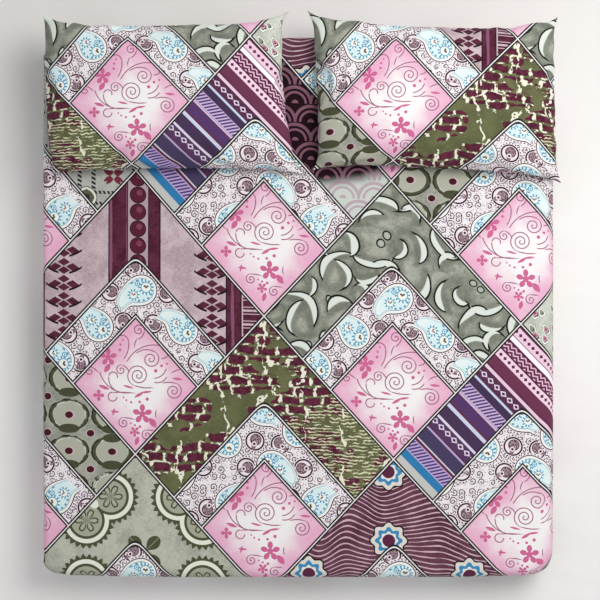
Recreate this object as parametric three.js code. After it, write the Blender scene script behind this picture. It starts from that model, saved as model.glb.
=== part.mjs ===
// A king-size bed sheet set laid on a bed: a fitted sheet drawn over a plain mattress, and two
// filled pillows in cases of the same cloth. Millimetres, +Z up, +X to the right of the bed seen
// from above with its head away, +Y towards its head.
import * as THREE from 'three';

// Mattress
const mattressWidth = 1930;
const mattressLength = 2040;
const mattressHeight = 200;
const baseRoll = 28; // rounding of its lower edge

// Cloth
const clothThickness = 2;
const restingGap = 0.3; // left between two pieces that lie on each other
const edgeGap = 2; // left between the sheet and the mattress edge that it turns over
const underTuck = 130; // reach of the elasticated hem under the mattress
const hemWave = 7; // how far the elastic draws the hem in and out near a corner
const hemWaveStep = 27; // distance along the hem for one radian of that wave
const hemWaveReach = 260; // distance from a corner over which the wave dies away
const smallestRadius = 10; // plan radius that a corner keeps however far its ring is inset

const mattressBase = clothThickness + restingGap;
const mattressTop = mattressBase + mattressHeight;
const sheetTop = mattressTop + restingGap + clothThickness;

// The four sides in the order that a ring passes them. roll is the rounding of the upper edge, and
// bow is how far the middle of the side stands out past its ends.
const sides = {
  foot: { roll: 36, bow: 16 },
  right: { roll: 60, bow: 5 },
  head: { roll: 34, bow: 8 },
  left: { roll: 24, bow: 4 },
};

// The corners that end those sides, in the same order, with their radius seen from above.
const corners = {
  footRight: { from: 'foot', to: 'right', radius: 74 },
  headRight: { from: 'right', to: 'head', radius: 66 },
  headLeft: { from: 'head', to: 'left', radius: 60 },
  footLeft: { from: 'left', to: 'foot', radius: 66 },
};

// Upright folds of the sheet where it is gathered round the corners. along is the distance from
// the middle of the corner, positive onto the side that follows it, and rise is how far it stands out.
const cornerFolds = [
  { corner: 'footLeft', along: -24, width: 16, rise: 11 },
  { corner: 'footLeft', along: 92, width: 30, rise: 6 },
  { corner: 'footLeft', along: -130, width: 34, rise: 5 },
  { corner: 'footRight', along: 4, width: 18, rise: 9 },
  { corner: 'footRight', along: -96, width: 34, rise: 5 },
  { corner: 'footRight', along: 118, width: 40, rise: 6 },
  { corner: 'headRight', along: -70, width: 34, rise: 6 },
  { corner: 'headRight', along: 88, width: 30, rise: 5 },
  { corner: 'headLeft', along: -84, width: 32, rise: 6 },
  { corner: 'headLeft', along: 66, width: 28, rise: 5 },
];

// Ring stations: close together towards the corners, far apart along the middle of a side
const runStops = [34, 72, 114, 164, 232, 420];
const cornerSteps = 6;
const rollSteps = 5;
const baseSteps = 3;
const wallStops = [0.35, 0.7]; // heights of the rings on the upright wall, as shares of it
const foldAtRoll = 0.3; // share of a fold's rise reached at the foot of the rolled edge
const foldAtWall = 0.45; // share of it reached at the top of the wall

// Pillows: corner tips seen from above, from the middle of the mattress. bow is how far each side
// is drawn in between its tips, and tuck how far a corner's ear is folded back.
const pillowCrown = 96; // rise of the crown over the seam
const pillowSeam = 46; // height of the seam over the sheet, halfway along a side
const pillowBelly = 62; // depth of the underside below the seam before it flattens on the sheet
const pillowAspect = 1.6; // width over length, so that a share of each makes a like distance
const earReach = 0.2; // distance from a tip, as a share of the length, over which the seam drops
const tuckReach = 0.19; // the same for the fold of an ear
const sideFlare = 6; // power that keeps a side straight until it flares into its ears
const swellFlat = 2.6; // power that flattens the crown
const swellRound = 0.56; // power that rounds the crown down to the seam
const pillows = {
  pillow_left: {
    headLeft: { x: -966, y: 1106, seam: 34, tuck: 24 },
    headRight: { x: -22, y: 1114, seam: 36, tuck: 4 },
    footRight: { x: 38, y: 484, seam: 12, tuck: 0 },
    footLeft: { x: -956, y: 470, seam: 20, tuck: 66 },
    bow: { head: 51, right: 66, foot: 40, left: 3 },
  },
  pillow_right: {
    headLeft: { x: 24, y: 1112, seam: 36, tuck: 14 },
    headRight: { x: 963, y: 1089, seam: 34, tuck: 6 },
    footRight: { x: 986, y: 464, seam: 16, tuck: 0 },
    footLeft: { x: 54, y: 508, seam: 20, tuck: 10 },
    bow: { head: 51, right: 24, foot: 36, left: 34 },
  },
};

// Soft troughs pressed into the pillows' upper side, placed as shares of the width and length.
// turn is the direction of the trough in degrees from the bed's width.
const pillowTroughs = [
  { pillow: 'pillow_left', u: 0.09, v: 0.9, turn: -40, reach: 110, width: 30, depth: 9 },
  { pillow: 'pillow_left', u: 0.9, v: 0.88, turn: 42, reach: 120, width: 32, depth: 8 },
  { pillow: 'pillow_left', u: 0.93, v: 0.12, turn: -48, reach: 130, width: 30, depth: 8 },
  { pillow: 'pillow_left', u: 0.08, v: 0.13, turn: 44, reach: 90, width: 28, depth: 7 },
  { pillow: 'pillow_right', u: 0.08, v: 0.88, turn: -44, reach: 110, width: 30, depth: 8 },
  { pillow: 'pillow_right', u: 0.93, v: 0.88, turn: 40, reach: 110, width: 30, depth: 9 },
  { pillow: 'pillow_right', u: 0.94, v: 0.1, turn: -38, reach: 140, width: 32, depth: 9 },
  { pillow: 'pillow_right', u: 0.07, v: 0.12, turn: 46, reach: 100, width: 28, depth: 7 },
];
const pillowColumns = 26;
const pillowRows = 18;

const sheetCloth = new THREE.MeshStandardMaterial({ color: 0xb9a9ae, roughness: 0.92, metalness: 0 });
const caseCloth = new THREE.MeshStandardMaterial({ color: 0xc7a9b8, roughness: 0.92, metalness: 0 });
const ticking = new THREE.MeshStandardMaterial({ color: 0xeeece6, roughness: 0.95, metalness: 0 });

const mix = (a, b, t) => a + (b - a) * t;
const eased = (t) => t * t * (3 - 2 * t);
const bump = (distance, width) => Math.exp(-((distance / width) ** 2));

// ---- Rings of the mattress and the sheet ----

// Each station is a point of a ring: the middle of a side, a stop on the run before (negative) or
// after a corner, or a turn round it.
function ringStations() {
  const stations = [];
  for (const [name, corner] of Object.entries(corners)) {
    const before = [...runStops].reverse().map((stop) => ({ side: corner.from, end: name, stop: -stop }));
    const after = runStops.map((stop) => ({ side: corner.to, end: name, stop }));
    const bend = Array.from({ length: cornerSteps + 1 }, (_, i) => ({ end: name, turn: i / cornerSteps }));
    stations.push({ side: corner.from, middle: true }, ...before, ...bend, ...after);
  }
  return stations;
}

// The barrel-shaped plan: the ends of every side are drawn in a little towards the middle.
function barrel(x, y) {
  const acrossBow = x > 0 ? sides.right.bow : sides.left.bow;
  const alongBow = y > 0 ? sides.head.bow : sides.foot.bow;
  const nearCorner = { x: (2 * x) / mattressWidth, y: (2 * y) / mattressLength };
  return {
    x: x * (1 - ((2 * acrossBow) / mattressWidth) * nearCorner.y ** 4),
    y: y * (1 - ((2 * alongBow) / mattressLength) * nearCorner.x ** 4),
  };
}

const outward = { foot: [0, -1], right: [1, 0], head: [0, 1], left: [-1, 0] };

// One closed ring, counter-clockwise from above. level gives each side's inset from the mattress
// outline and its height. folds scales the upright folds, and wave the in and out of the hem.
function ring(level, { folds = 0, wave = 0 } = {}) {
  const at = Object.fromEntries(Object.keys(sides).map((side) => [side, level(sides[side])]));
  const edge = {
    foot: -mattressLength / 2 + at.foot.inset,
    right: mattressWidth / 2 - at.right.inset,
    head: mattressLength / 2 - at.head.inset,
    left: -mattressWidth / 2 + at.left.inset,
  };
  return ringStations().map((station) => {
    const corner = corners[station.end];
    let x, y, z, push, fromCorner;
    if (station.middle) {
      x = station.side === 'right' ? edge.right : station.side === 'left' ? edge.left : 0;
      y = station.side === 'foot' ? edge.foot : station.side === 'head' ? edge.head : 0;
      z = at[station.side].z;
      push = outward[station.side];
      fromCorner = Infinity;
    } else {
      const insets = (at[corner.from].inset + at[corner.to].inset) / 2;
      const radius = Math.max(corner.radius - insets, smallestRadius);
      const signX = station.end.endsWith('Right') ? 1 : -1;
      const signY = station.end.startsWith('head') ? 1 : -1;
      const centreX = edge[signX > 0 ? 'right' : 'left'] - signX * radius;
      const centreY = edge[signY > 0 ? 'head' : 'foot'] - signY * radius;
      const [fromX, fromY] = outward[corner.from];
      const [toX, toY] = outward[corner.to];
      const turn = station.turn ?? (station.stop > 0 ? 1 : 0);
      const angle = (turn * Math.PI) / 2;
      push = [
        fromX * Math.cos(angle) + toX * Math.sin(angle),
        fromY * Math.cos(angle) + toY * Math.sin(angle),
      ];
      const run = station.stop ?? 0;
      const tangent = run > 0 ? [-toY, toX] : [-fromY, fromX];
      x = centreX + radius * push[0] + run * tangent[0];
      y = centreY + radius * push[1] + run * tangent[1];
      z = mix(at[corner.from].z, at[corner.to].z, eased(turn));
      fromCorner = run + (turn - 0.5) * (Math.PI / 2) * corner.radius;
    }
    let stand = 0;
    for (const fold of cornerFolds) {
      if (fold.corner === station.end) stand += folds * fold.rise * bump(fromCorner - fold.along, fold.width);
    }
    const nearCorner = station.middle ? 0 : bump(fromCorner, hemWaveReach);
    const hem = nearCorner && wave * Math.sin(fromCorner / hemWaveStep) * nearCorner;
    const plan = barrel(x, y);
    return new THREE.Vector3(plan.x + (stand + hem) * push[0], plan.y + (stand + hem) * push[1], z);
  });
}

// Levels of a rounded upper edge and of a rounded lower edge. proud is how far the surface stands
// outside the mattress, above its top and below its base.
function upperLevel(share, { proud, above, trim }) {
  const angle = (share * Math.PI) / 2;
  return ({ roll }) => {
    const radius = roll + trim;
    return {
      inset: -proud + radius * (1 - Math.sin(angle)),
      z: mattressTop + above - radius * (1 - Math.cos(angle)),
    };
  };
}

function lowerLevel(share, { proud, below, trim }) {
  const angle = (share * Math.PI) / 2;
  const radius = baseRoll + trim;
  return () => ({
    inset: -proud + radius * (1 - Math.cos(angle)),
    z: mattressBase - below + radius * (1 - Math.sin(angle)),
  });
}

function wallLevel(share, surface) {
  return (side) => {
    const top = upperLevel(1, surface)(side);
    const bottom = lowerLevel(0, surface)(side);
    return { inset: mix(top.inset, bottom.inset, share), z: mix(top.z, bottom.z, share) };
  };
}

// The rings of one surface from its upper flat to its lower flat
function surfaceRings(surface, foldScale = 0) {
  const rings = [];
  for (let i = 0; i <= rollSteps; i++) {
    const share = i / rollSteps;
    rings.push(ring(upperLevel(share, surface), { folds: foldScale * foldAtRoll * eased(share) }));
  }
  for (const share of wallStops) {
    rings.push(ring(wallLevel(share, surface), { folds: foldScale * mix(foldAtWall, 1, share) }));
  }
  for (let i = 0; i <= baseSteps; i++) {
    const share = i / baseSteps;
    rings.push(ring(lowerLevel(share, surface), { folds: foldScale * (1 - eased(share)) }));
  }
  return rings;
}

// A closed solid through the rings, with a flat cap at each end
function loft(rings) {
  const count = rings[0].length;
  const positions = rings.flat().flatMap((p) => [p.x, p.y, p.z]);
  const index = [];
  for (let r = 0; r + 1 < rings.length; r++) {
    for (let i = 0; i < count; i++) {
      const next = (i + 1) % count;
      const [a, b] = [r * count + i, r * count + next];
      const [c, d] = [a + count, b + count];
      index.push(a, c, d, a, d, b);
    }
  }
  for (const [first, flip] of [[0, false], [(rings.length - 1) * count, true]]) {
    const hub = positions.length / 3;
    positions.push(0, 0, positions[3 * first + 2]);
    for (let i = 0; i < count; i++) {
      const [a, b] = [first + i, first + ((i + 1) % count)];
      index.push(hub, ...(flip ? [b, a] : [a, b]));
    }
  }
  return closedGeometry(positions, index);
}

function closedGeometry(positions, index) {
  const geometry = new THREE.BufferGeometry();
  geometry.setAttribute('position', new THREE.Float32BufferAttribute(positions, 3));
  geometry.setIndex(index);
  geometry.computeVertexNormals();
  return geometry;
}

// ---- Mattress: a plain block of foam with rounded edges ----
function mattressGeometry() {
  return loft(surfaceRings({ proud: 0, above: 0, below: 0, trim: 0 }));
}

// ---- Fitted sheet: one piece of cloth over the top and the sides, its hem turned under ----
function fittedSheetGeometry() {
  const easeAtEdge = -1; // the turned edge is a little tighter than the mattress's, which clears it
  const inner = { proud: edgeGap, above: restingGap, below: restingGap, trim: easeAtEdge };
  const outer = {
    proud: edgeGap + clothThickness,
    above: restingGap + clothThickness,
    below: restingGap + clothThickness,
    trim: easeAtEdge + clothThickness,
  };
  const hemAt = (z) => ring(() => ({ inset: underTuck, z }), { wave: hemWave });
  return loft([
    ...surfaceRings(outer, 1),
    hemAt(0),
    hemAt(clothThickness),
    ...surfaceRings(inner, 1).reverse(),
  ]);
}

// ---- Pillow: one filled solid, crowned above, flat where it rests, with drawn-in sides ----
function pillowGeometry(name) {
  const pillow = pillows[name];
  const { headLeft, headRight, footRight, footLeft, bow } = pillow;
  const drawn = (t) => 1 - Math.abs(2 * t - 1) ** sideFlare;
  const fromTip = (corner, u, v) => Math.hypot((u - corner.u) * pillowAspect, v - corner.v);
  const sideOf = (from, to, depth, t) => {
    const [dx, dy] = [to.x - from.x, to.y - from.y];
    const length = Math.hypot(dx, dy);
    const offset = depth * drawn(t);
    return { x: from.x + dx * t - (dy / length) * offset, y: from.y + dy * t + (dx / length) * offset };
  };
  const tips = [
    { tip: footLeft, u: 0, v: 0 },
    { tip: footRight, u: 1, v: 0 },
    { tip: headLeft, u: 0, v: 1 },
    { tip: headRight, u: 1, v: 1 },
  ];
  const middle = {
    x: (footLeft.x + footRight.x + headLeft.x + headRight.x) / 4,
    y: (footLeft.y + footRight.y + headLeft.y + headRight.y) / 4,
  };

  // Plan of the case between its four bowed sides, with the ears folded back
  function plan(u, v) {
    const foot = sideOf(footLeft, footRight, bow.foot, u);
    const head = sideOf(headRight, headLeft, bow.head, 1 - u);
    const left = sideOf(headLeft, footLeft, bow.left, 1 - v);
    const right = sideOf(footRight, headRight, bow.right, v);
    const blend = (axis) => {
      const lower = mix(footLeft[axis], footRight[axis], u);
      const upper = mix(headLeft[axis], headRight[axis], u);
      return mix(foot[axis], head[axis], v) + mix(left[axis], right[axis], u) - mix(lower, upper, v);
    };
    const point = { x: blend('x'), y: blend('y') };
    for (const corner of tips) {
      const [inX, inY] = [middle.x - corner.tip.x, middle.y - corner.tip.y];
      const pull = (corner.tip.tuck * bump(fromTip(corner, u, v), tuckReach)) / Math.hypot(inX, inY);
      point.x += inX * pull;
      point.y += inY * pull;
    }
    return point;
  }

  function seamHeight(u, v) {
    return tips.reduce((height, corner) => {
      return height + (corner.tip.seam - pillowSeam) * bump(fromTip(corner, u, v), earReach);
    }, pillowSeam);
  }

  const swell = (t) => Math.max(0, 1 - Math.abs(2 * t - 1) ** swellFlat) ** swellRound;
  function troughs(point) {
    return pillowTroughs.filter((row) => row.pillow === name).reduce((sum, row) => {
      const at = plan(row.u, row.v);
      const angle = (row.turn * Math.PI) / 180;
      const [dx, dy] = [point.x - at.x, point.y - at.y];
      const alongIt = dx * Math.cos(angle) + dy * Math.sin(angle);
      const acrossIt = -dx * Math.sin(angle) + dy * Math.cos(angle);
      return sum + row.depth * bump(alongIt, row.reach) * bump(acrossIt, row.width);
    }, 0);
  }

  const crowding = 0.65; // how much closer the rows and columns lie towards the seam
  const stop = (i, count) => mix(i / count, 0.5 - 0.5 * Math.cos((Math.PI * i) / count), crowding);
  const rest = sheetTop + restingGap;
  const positions = [];
  const upper = [];
  const lower = [];
  const addPoint = (x, y, z) => positions.push(x, y, z) / 3 - 1;
  for (let j = 0; j <= pillowRows; j++) {
    for (let i = 0; i <= pillowColumns; i++) {
      const [u, v] = [stop(i, pillowColumns), stop(j, pillowRows)];
      const point = plan(u, v);
      const full = swell(u) * swell(v);
      const seam = seamHeight(u, v);
      const rise = Math.max(pillowCrown * full - troughs(point) * Math.min(1, 3 * full), 0);
      upper.push(addPoint(point.x, point.y, rest + seam + rise));
      const onSeam = i === 0 || j === 0 || i === pillowColumns || j === pillowRows;
      const under = rest + Math.max(0, seam - pillowBelly * full);
      lower.push(onSeam ? upper.at(-1) : addPoint(point.x, point.y, under));
    }
  }
  const index = [];
  const across = pillowColumns + 1;
  for (let j = 0; j < pillowRows; j++) {
    for (let i = 0; i < pillowColumns; i++) {
      const [a, b] = [j * across + i, j * across + i + 1];
      const [c, d] = [a + across, b + across];
      index.push(upper[a], upper[b], upper[d], upper[a], upper[d], upper[c]);
      index.push(lower[a], lower[d], lower[b], lower[a], lower[c], lower[d]);
    }
  }
  return closedGeometry(positions, index);
}

function named(name, geometry, material) {
  const mesh = new THREE.Mesh(geometry, material);
  mesh.name = name;
  return mesh;
}

const bed = new THREE.Group();
bed.add(named('mattress', mattressGeometry(), ticking));
bed.add(named('fitted_sheet', fittedSheetGeometry(), sheetCloth));
for (const name of Object.keys(pillows)) bed.add(named(name, pillowGeometry(name), caseCloth));

// The origin is the middle of the whole set's footprint, on the surface that it stands on.
const footprint = new THREE.Box3().setFromObject(bed);
const centre = footprint.getCenter(new THREE.Vector3());
bed.position.set(-centre.x, -centre.y, -footprint.min.z);
bed.updateMatrixWorld(true);

export default bed;
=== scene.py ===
"""A king-size bed sheet set: a printed fitted sheet over a mattress, and two filled pillows."""

import math

import bmesh
import bpy
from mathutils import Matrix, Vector, noise


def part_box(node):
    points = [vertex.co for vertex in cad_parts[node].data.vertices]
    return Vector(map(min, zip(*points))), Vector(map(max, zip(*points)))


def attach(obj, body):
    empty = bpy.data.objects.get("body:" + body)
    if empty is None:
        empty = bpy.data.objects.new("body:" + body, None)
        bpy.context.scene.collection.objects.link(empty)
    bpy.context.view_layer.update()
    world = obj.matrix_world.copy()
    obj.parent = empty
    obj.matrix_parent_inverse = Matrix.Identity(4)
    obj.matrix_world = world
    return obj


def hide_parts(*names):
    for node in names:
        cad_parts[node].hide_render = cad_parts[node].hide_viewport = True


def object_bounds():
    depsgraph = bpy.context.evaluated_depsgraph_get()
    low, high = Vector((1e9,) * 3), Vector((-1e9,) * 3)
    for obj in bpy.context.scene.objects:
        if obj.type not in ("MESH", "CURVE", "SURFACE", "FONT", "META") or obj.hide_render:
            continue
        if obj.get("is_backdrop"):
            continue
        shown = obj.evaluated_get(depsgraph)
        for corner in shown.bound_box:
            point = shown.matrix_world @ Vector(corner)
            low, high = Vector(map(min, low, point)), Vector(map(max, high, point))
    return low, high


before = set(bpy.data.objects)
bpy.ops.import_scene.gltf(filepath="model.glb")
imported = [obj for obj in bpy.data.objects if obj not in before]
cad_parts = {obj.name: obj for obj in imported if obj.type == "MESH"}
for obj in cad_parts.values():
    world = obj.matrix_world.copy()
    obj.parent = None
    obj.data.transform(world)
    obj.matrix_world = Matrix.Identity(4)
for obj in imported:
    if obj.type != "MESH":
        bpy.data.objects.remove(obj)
cad_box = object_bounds()
scene = bpy.context.scene
scene.view_settings.view_transform = "Standard"

# ---- Studio ----
# A pale floor that the bed stands on, its colour painted darker towards the head and the left as
# painted shade, under even white light with one broad lamp to the right of the head. The camera
# hangs straight above the bed, with its head at the top.
bed_low, bed_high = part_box("mattress")
bed_centre = (bed_low + bed_high) / 2
sheet_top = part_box("fitted_sheet")[1].z


def new_object(name, data):
    made = bpy.data.objects.new(name, data)
    scene.collection.objects.link(made)
    return made


camera_rise = 5.6
view_width = 2.265
view_offset = Vector((0.0038, 0.0283))
camera_data = bpy.data.cameras.new("camera")
camera_data.lens = camera_data.sensor_width * camera_rise / view_width
camera = new_object("camera", camera_data)
camera.location = (*(bed_centre.xy + view_offset), sheet_top + camera_rise)
scene.camera = camera

lamp_data = bpy.data.lights.new("window lamp", "AREA")
lamp_data.shape = "DISK"
lamp_data.size = 2.8
lamp_data.energy = 126
lamp_data.color = (1.0, 0.985, 0.965)
lamp = new_object("window lamp", lamp_data)
lamp.location = (1.9, 1.5, 3.9)
lamp.rotation_euler = (bed_centre - lamp.location).to_track_quat("-Z", "Y").to_euler()

world = bpy.data.worlds.new("studio")
world.use_nodes = True
world.node_tree.nodes["Background"].inputs["Color"].default_value = (0.96, 0.98, 1.0, 1)
world.node_tree.nodes["Background"].inputs["Strength"].default_value = 0.58
scene.world = world


def ink(code):
    """A colour of the cloth, written as in a dye chart, as the shader takes it."""
    parts = [int(code[i : i + 2], 16) / 255 for i in (1, 3, 5)]
    line = [c / 12.92 if c <= 0.04045 else ((c + 0.055) / 1.055) ** 2.4 for c in parts]
    return (*line, 1)


def operator(operation, swapped=False):
    """A method of a dye that adds one Math node; a swapped one takes the other value first."""

    def method(dye, *others):
        return dye.math(operation, *((*others, dye) if swapped else (dye, *others)))

    return method


class Dye:
    """A value, a vector or a colour among a material's nodes; sums on values add Math nodes."""

    def __init__(self, tree, socket=None):
        self.tree = tree
        self.socket = socket

    def node(self, kind, settings=None, inputs=None, output=0):
        made = self.tree.nodes.new("ShaderNode" + kind)
        for name, setting in (settings or {}).items():
            setattr(made, name, setting)
        for name, value in (inputs or {}).items():
            if isinstance(value, Dye):
                self.tree.links.new(value.socket, made.inputs[name])
            else:
                made.inputs[name].default_value = ink(value) if isinstance(value, str) else value
        return Dye(self.tree, made.outputs[output])

    def math(self, operation, *values):
        return self.node("Math", {"operation": operation}, dict(enumerate(values)))

    __add__ = operator("ADD")
    __radd__ = operator("ADD", swapped=True)
    __sub__ = operator("SUBTRACT")
    __rsub__ = operator("SUBTRACT", swapped=True)
    __mul__ = operator("MULTIPLY")
    __rmul__ = operator("MULTIPLY", swapped=True)
    __truediv__ = operator("DIVIDE")
    __pow__ = operator("POWER")
    __abs__ = operator("ABSOLUTE")
    __lt__ = operator("LESS_THAN")
    __gt__ = operator("GREATER_THAN")
    __or__ = operator("MAXIMUM")
    __and__ = operator("MINIMUM")
    is_near = operator("COMPARE")
    sin = operator("SINE")
    cos = operator("COSINE")
    atan2 = operator("ARCTAN2")
    floor = operator("FLOOR")
    fract = operator("FRACT")

    def repeat(self, pitch):
        """How far the value is from the nearest multiple of the pitch, negative before it."""
        return self.math("WRAP", self, pitch / 2, -pitch / 2)

    def row(self, pitch):
        return (self / pitch + 0.5).floor()

    def odd(self):
        return self.math("PINGPONG", self, 1)

    def ease(self, low, high):
        inputs = {"Value": self, "From Min": low, "From Max": high}
        return self.node("MapRange", {"interpolation_type": "SMOOTHSTEP"}, inputs)

    def vector_math(self, operation, other, output=0):
        return self.node("VectorMath", {"operation": operation}, {0: self, 1: other}, output)

    def dot(self, x, y):
        """How far the place lies along a direction."""
        return self.vector_math("DOT_PRODUCT", (x, y, 0), output=1)

    def split(self, degrees=0):
        """The place along two square axes, the first of them turned by some degrees."""
        x, y = math.cos(math.radians(degrees)), math.sin(math.radians(degrees))
        return self.dot(x, y), self.dot(-y, x)

    def join(self, y):
        return self.node("CombineXYZ", {}, {0: self, 1: y})

    def length(self):
        return self.node("VectorMath", {"operation": "LENGTH"}, {0: self}, output=1)

    def moved(self, x, y):
        return self.vector_math("ADD", (x, y, 0))

    def turned(self, degrees, *scale):
        turn = (0, 0, math.radians(degrees))
        return self.node("Mapping", {}, {"Vector": self, "Rotation": turn, "Scale": (*scale, 1)})

    def noise(self, scale, detail=1, rough=0.5):
        inputs = {"Vector": self, "Scale": scale, "Detail": detail, "Roughness": rough}
        return self.node("TexNoise", {"noise_dimensions": "2D"}, inputs)

    def blend(self, share, first, second):
        """A colour between two others."""
        return self.node("Mix", {"data_type": "RGBA"}, {0: share, 6: first, 7: second}, output=2)

    def switch(self, share, first, second):
        """A place switched between two others."""
        return self.node("Mix", {"data_type": "VECTOR"}, {0: share, 4: first, 5: second}, output=1)

    def under(self, mask, colour):
        """This colour with another laid over it where the mask is 1."""
        return self.blend(mask, self, colour)

    def relief(self, strength, distance):
        """The shading of a surface that has this height in it."""
        return self.node("Bump", {}, {"Strength": strength, "Distance": distance, "Height": self})


def new_material(name, roughness):
    """A material with its own Principled shader, and that shader's node."""
    material = bpy.data.materials.new(name)
    material.use_nodes = True
    shader = material.node_tree.nodes["Principled BSDF"]
    shader.inputs["Roughness"].default_value = roughness
    return material, shader


def dress(shader, colour, relief):
    """Gives a shader its colour and its relief."""
    colour.tree.links.new(colour.socket, shader.inputs["Base Color"])
    colour.tree.links.new(relief.socket, shader.inputs["Normal"])


def new_piece(name, mesh_maker, *materials):
    """A finished object from a bmesh, smooth-shaded, with its materials."""
    mesh = bpy.data.meshes.new(name)
    mesh_maker.to_mesh(mesh)
    mesh_maker.free()
    mesh.shade_smooth()
    for material in materials:
        mesh.materials.append(material)
    return new_object(name, mesh)


floor_material, floor_shader = new_material("pale floor", 0.95)
place = Dye(floor_material.node_tree).node("TexCoord", output=3)
across, along = place.split()
# Painted shade: the floor's colour darkens towards the head and a little towards the left, standing
# in for uneven light on the floor.
floor_colour_with_painted_shade = place.blend((along - across * 0.25).ease(-0.1, 1.35), "#f1eeec", "#dedbd8")
rumples = place.turned(25, 1, 2.2).noise(1.7, 3, 0.45)
threads = place.turned(0, 1, 9).noise(80, 2)
dress(floor_shader, floor_colour_with_painted_shade, (rumples + threads * 0.02).relief(0.5, 0.03))
floor_maker = bmesh.new()
bmesh.ops.create_grid(floor_maker, x_segments=1, y_segments=1, size=30)
bmesh.ops.translate(floor_maker, verts=floor_maker.verts, vec=(0, 0, -0.0005))
new_piece("studio_floor", floor_maker, floor_material)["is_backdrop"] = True

# ---- Mattress ----
# A plain foam mattress with rounded edges in a closely woven off-white ticking. The sheet hides
# all of it but the middle of its underside, so the CAD solid stays and gets its cloth here.
ticking, ticking_shader = new_material("mattress ticking", 0.9)
place = Dye(ticking.node_tree).node("TexCoord", output=3)
across, along = place.split()
thread = 0.0016
twill = ((across + along) * (math.tau / thread)).sin() * 0.5 + 0.5
slub = place.noise(60, 3)
ticking_colour = place.blend(slub * 0.6 + twill * 0.25, "#e6e2d8", "#f4f2ea")
dress(ticking_shader, ticking_colour, (twill + slub).relief(0.4, 0.0004))
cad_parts["mattress"].material_slots[0].material = ticking

# ---- Fitted sheet ----
# One piece of printed cotton pulled over the mattress. Each corner is a sewn dart, and elastic in
# the hem draws the cloth under the base, so the sides pucker towards the hem and the corners.
half_width = 0.965
half_length = 1.02
mattress_base = bed_low.z
mattress_top = bed_high.z
sheet_proud = 0.004
sheet_above = 0.0023
sheet_below = 0.0021
base_roll = 0.028
under_tuck = 0.13
sides = {
    "foot": {"roll": 0.036, "bow": 0.019, "out": (0, -1)},
    "right": {"roll": 0.060, "bow": 0.005, "out": (1, 0)},
    "head": {"roll": 0.034, "bow": 0.008, "out": (0, 1)},
    "left": {"roll": 0.024, "bow": 0.004, "out": (-1, 0)},
}
corners = [
    {"from": "foot", "to": "right", "radius": 0.074, "x": 1, "y": -1},
    {"from": "right", "to": "head", "radius": 0.066, "x": 1, "y": 1},
    {"from": "head", "to": "left", "radius": 0.060, "x": -1, "y": 1},
    {"from": "left", "to": "foot", "radius": 0.043, "x": -1, "y": -1},
]
# Upright folds gathered round the corners: corner, distance past its middle, width, rise
upright_folds = [
    (3, -0.024, 0.016, 0.011), (3, 0.092, 0.030, 0.006), (3, -0.130, 0.034, 0.005),
    (0, 0.004, 0.018, 0.009), (0, -0.096, 0.034, 0.005), (0, 0.118, 0.040, 0.006),
    (1, -0.070, 0.034, 0.006), (1, 0.088, 0.030, 0.005),
    (2, -0.084, 0.032, 0.006), (2, 0.066, 0.028, 0.005),
]
panel_columns = 132
panel_rows = 140
corner_span = 0.05
corner_fade = 0.17


def mix(a, b, t):
    return a + (b - a) * t


def eased(t):
    t = min(max(t, 0), 1)
    return t * t * (3 - 2 * t)


def bump(distance, width):
    return math.exp(-((distance / width) ** 2))


def beside(x, y, facts):
    """The facts of the side across from the middle at x, and of the one along from it at y."""
    return facts["right" if x > 0 else "left"], facts["head" if y > 0 else "foot"]


def barrel(x, y):
    """The plan with the ends of every side drawn in a little towards the middle."""
    across_side, along_side = beside(x, y, sides)
    return (
        x * (1 - across_side["bow"] / half_width * (y / half_length) ** 4),
        y * (1 - along_side["bow"] / half_length * (x / half_width) ** 6),
    )


def side_level(side, part, share):
    """How far a ring of the sheet lies inside the mattress's outline there, and its height."""
    roll = side["roll"] + 0.001
    low_roll = base_roll + 0.001
    high, low = mattress_top + sheet_above, mattress_base - sheet_below
    turned_in = 1 - math.sin(share * math.pi / 2)
    turned_down = 1 - math.cos(share * math.pi / 2)
    return {
        "roll": (roll * turned_in - sheet_proud, high - roll * turned_down),
        "wall": (-sheet_proud, mix(high - roll, low + low_roll, share)),
        "base": (low_roll * turned_down - sheet_proud, low + low_roll * turned_in),
        "under": (mix(low_roll - sheet_proud, under_tuck, share), low),
    }[part]


def stand_out(corner_index, past, part, share):
    """How far folds, and puckers drawn by the elastic, hold the cloth off the mattress."""
    folded, drawn_in = {
        "roll": (0.3 * eased(share), 0.25 * eased(share)),
        "wall": (mix(0.45, 1, share), mix(0.25, 1, share**1.5)),
        "base": (1 - eased(share), mix(1, 0.5, share)),
        "under": (0, 0.5),
    }[part]
    stand = 0
    for fold_corner, middle, width, rise in upright_folds:
        if fold_corner == corner_index:
            stand += folded * rise * bump(past - middle, width)
    crimp = noise.noise(Vector((past * 37 + 0.8 * share, corner_index * 9.1, 0.3)))
    ripple = noise.noise(Vector((past * 66, corner_index * 5.3, 1.7)))
    gathered = 0.35 + 0.65 * bump(past, 0.3)
    return stand + drawn_in * gathered * (0.0052 * crimp + 0.0022 * ripple), ripple


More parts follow.
